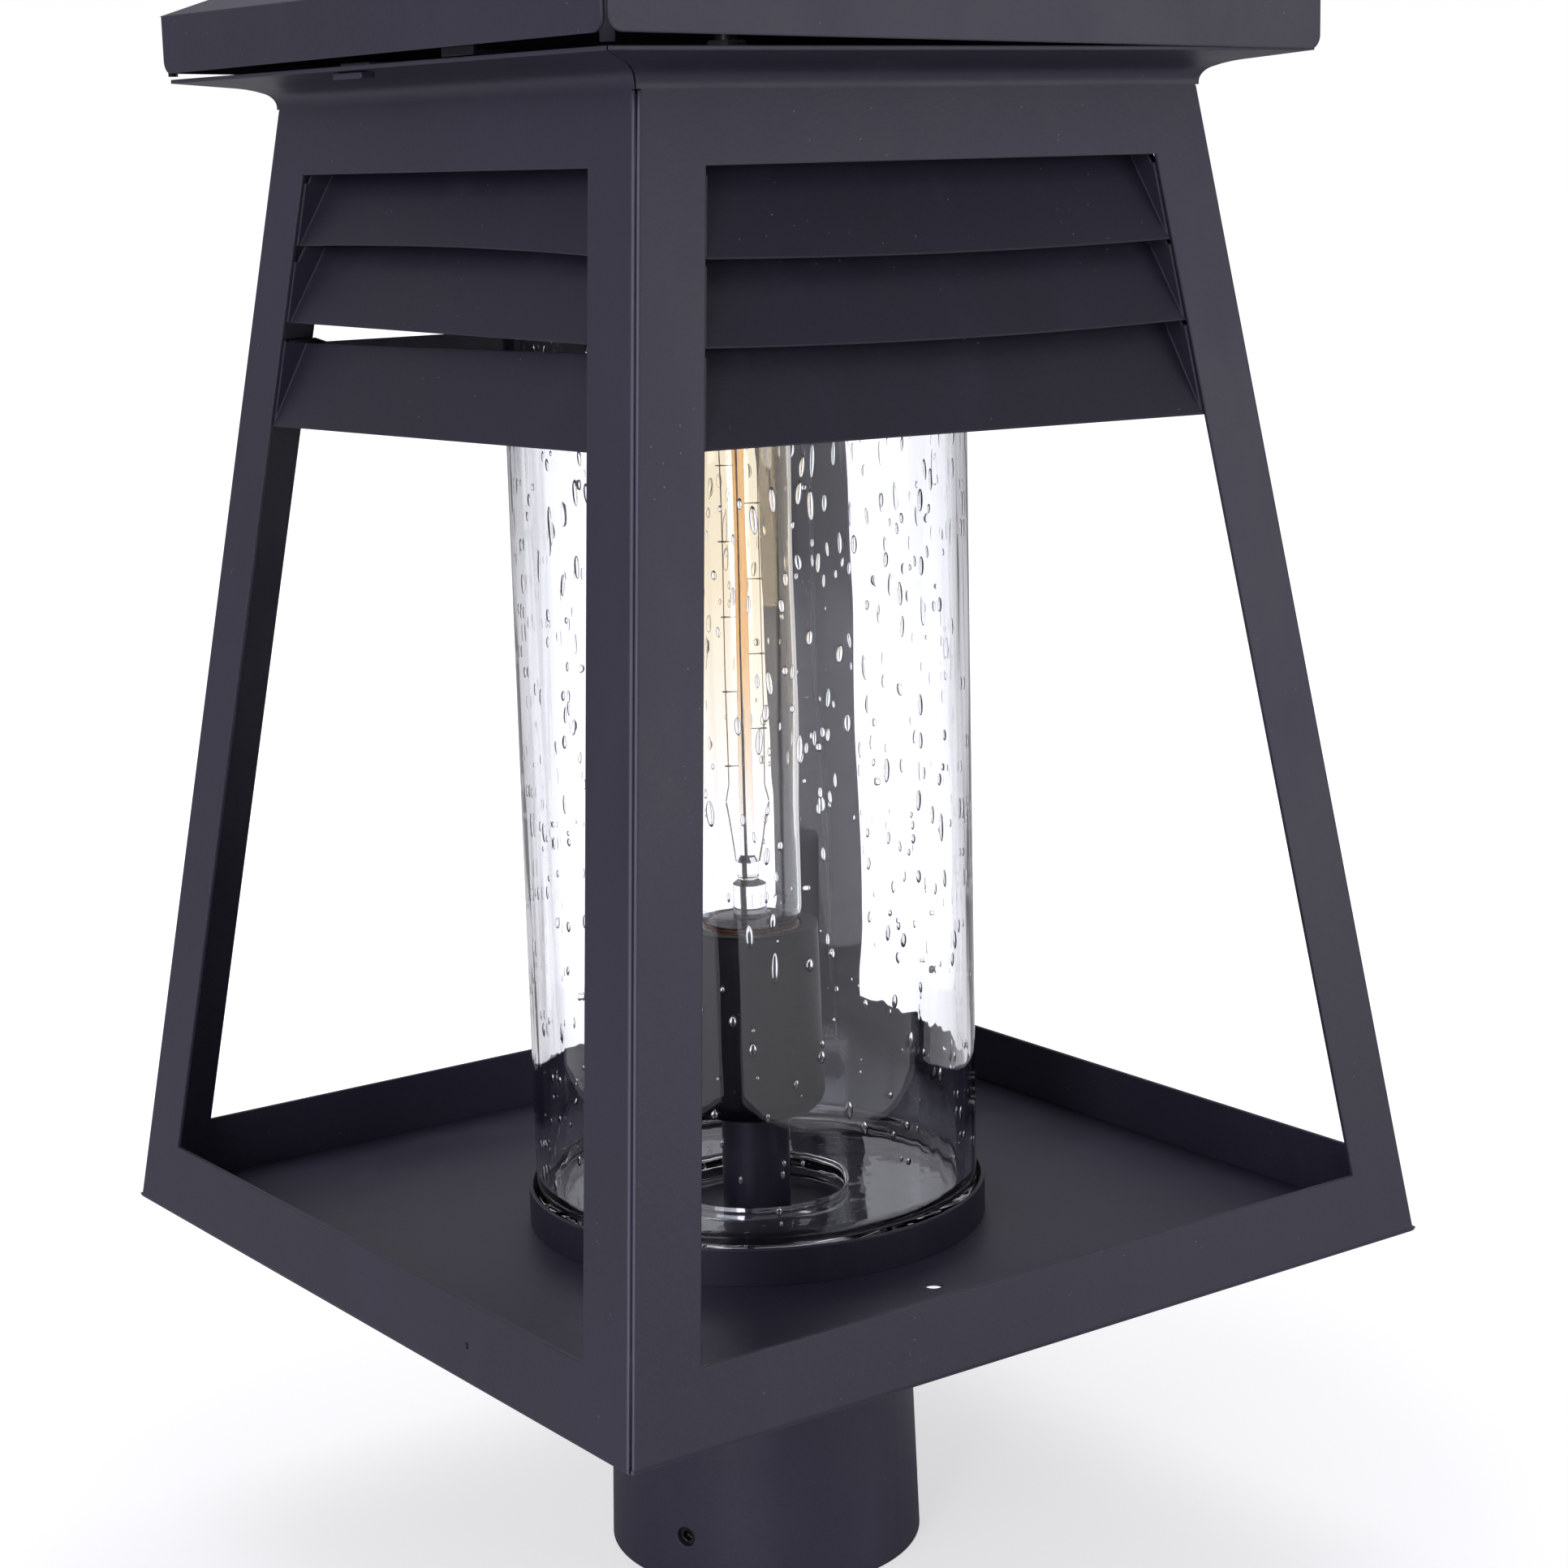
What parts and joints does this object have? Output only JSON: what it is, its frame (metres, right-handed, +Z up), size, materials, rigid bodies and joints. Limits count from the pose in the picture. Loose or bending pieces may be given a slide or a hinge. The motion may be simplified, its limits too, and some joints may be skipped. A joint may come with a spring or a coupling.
{
  "type": "outdoor post light",
  "caption": "Square tapered post-top lantern with open windows, louvre slats, a seeded-glass cylinder, a tubular bulb and a round post fitter.",
  "frame": {"origin": "centre of the post fitter's lower rim, on the lantern's axis", "axes": "+Z up along the post's axis, -Y out of the front side panel, +X out of the right side panel"},
  "size_m": [0.257, 0.257, 0.5006],
  "materials": {
    "black_coat": "satin charcoal-black powder coat",
    "seeded_glass": "clear seeded glass",
    "amber_glass": "clear, amber-tinted, glossy",
    "mount_glass": "clear",
    "brass": "polished",
    "zinc_steel": "bright zinc",
    "black_steel": "black oxide",
    "green_screw": "green dyed zinc",
    "porcelain": "glazed",
    "black_insulator": "glossy",
    "solder": "satin",
    "copper_disc": "dull copper",
    "lead_wire": "plain",
    "filament_wire": "dull",
    "fibre": "matt"
  },
  "bodies": {
    "root": {"side_panel_front": "black_coat", "side_panel_right": "black_coat", "side_panel_back": "black_coat", "side_panel_left": "black_coat", "tray_floor": "black_coat", "glass_gallery": "black_coat", "post_fitter": "black_coat", "ground_screw": "green_screw", "nipple": "zinc_steel", "nipple_nuts": "zinc_steel", "lock_washer": "zinc_steel", "stem_tube": "black_coat", "lampholder_cup": "black_coat", "lampholder_core": "porcelain", "screw_sleeve": "brass", "spring_contact": "brass", "terminal_screws": "zinc_steel", "crossbar": "black_coat", "roof_stud": "zinc_steel", "stud_nuts": "zinc_steel", "louvre_front_1": "black_coat", "louvre_front_2": "black_coat", "louvre_front_3": "black_coat", "louvre_right_1": "black_coat", "louvre_right_2": "black_coat", "louvre_right_3": "black_coat", "louvre_back_1": "black_coat", "louvre_back_2": "black_coat", "louvre_back_3": "black_coat", "louvre_left_1": "black_coat", "louvre_left_2": "black_coat", "louvre_left_3": "black_coat"},
    "glass": {"glass_cylinder": "seeded_glass"},
    "bulb_carriage": {"bulb_tip": "solder"},
    "bulb": {"bulb_base": "brass", "bulb_nose": "black_insulator", "bulb_envelope": "amber_glass", "bulb_disc": "copper_disc", "bulb_mount": "mount_glass", "bulb_leads": "lead_wire", "bulb_supports": "lead_wire", "bulb_filament": "filament_wire"},
    "roof": {"roof_shell": "black_coat", "roof_clips": "black_coat", "roof_cap": "black_coat", "cap_spacer": "zinc_steel"},
    "finial_seat": {"finial_washer": "fibre"},
    "finial": {"finial": "black_coat"},
    "set_screw_1": {"set_screw_1": "black_steel"},
    "set_screw_2": {"set_screw_2": "black_steel"},
    "set_screw_3": {"set_screw_3": "black_steel"}
  },
  "joints": [
    {"name": "glass_lift", "type": "slide", "parent": "root", "child": "glass", "axis": [0, 0, 1], "range_m": [0, 0.06]},
    {"name": "roof_lift", "type": "slide", "parent": "root", "child": "roof", "axis": [0, 0, 1], "range_m": [0, 0.08]},
    {"name": "finial_rise", "type": "slide", "parent": "roof", "child": "finial_seat", "axis": [0, 0, 1], "range_m": [0, 0.0136]},
    {"name": "finial_turn", "type": "hinge", "parent": "finial_seat", "child": "finial", "pos_m": [0, 0, 0.47], "axis": [0, 0, 1], "range_deg": [0, 4860]},
    {"name": "bulb_rise", "type": "slide", "parent": "root", "child": "bulb_carriage", "axis": [0, 0, 1], "range_m": [0, 0.0182]},
    {"name": "bulb_turn", "type": "hinge", "parent": "bulb_carriage", "child": "bulb", "pos_m": [0, 0, 0.17], "axis": [0, 0, 1], "range_deg": [0, 1800]},
    {"name": "set_screw_1_drive", "type": "slide", "parent": "root", "child": "set_screw_1", "axis": [0.9135, 0.4067, 0], "range_m": [-0.002, 0.003]},
    {"name": "set_screw_2_drive", "type": "slide", "parent": "root", "child": "set_screw_2", "axis": [-0.809, 0.5878, 0], "range_m": [-0.002, 0.003]},
    {"name": "set_screw_3_drive", "type": "slide", "parent": "root", "child": "set_screw_3", "axis": [-0.1045, -0.9945, 0], "range_m": [-0.002, 0.003]}
  ],
  "couplings": [
    {"joint": "bulb_rise", "follows": "bulb_turn", "m_per_rad": 0.00057757},
    {"joint": "finial_rise", "follows": "finial_turn", "m_per_rad": 0.00015915}
  ]
}
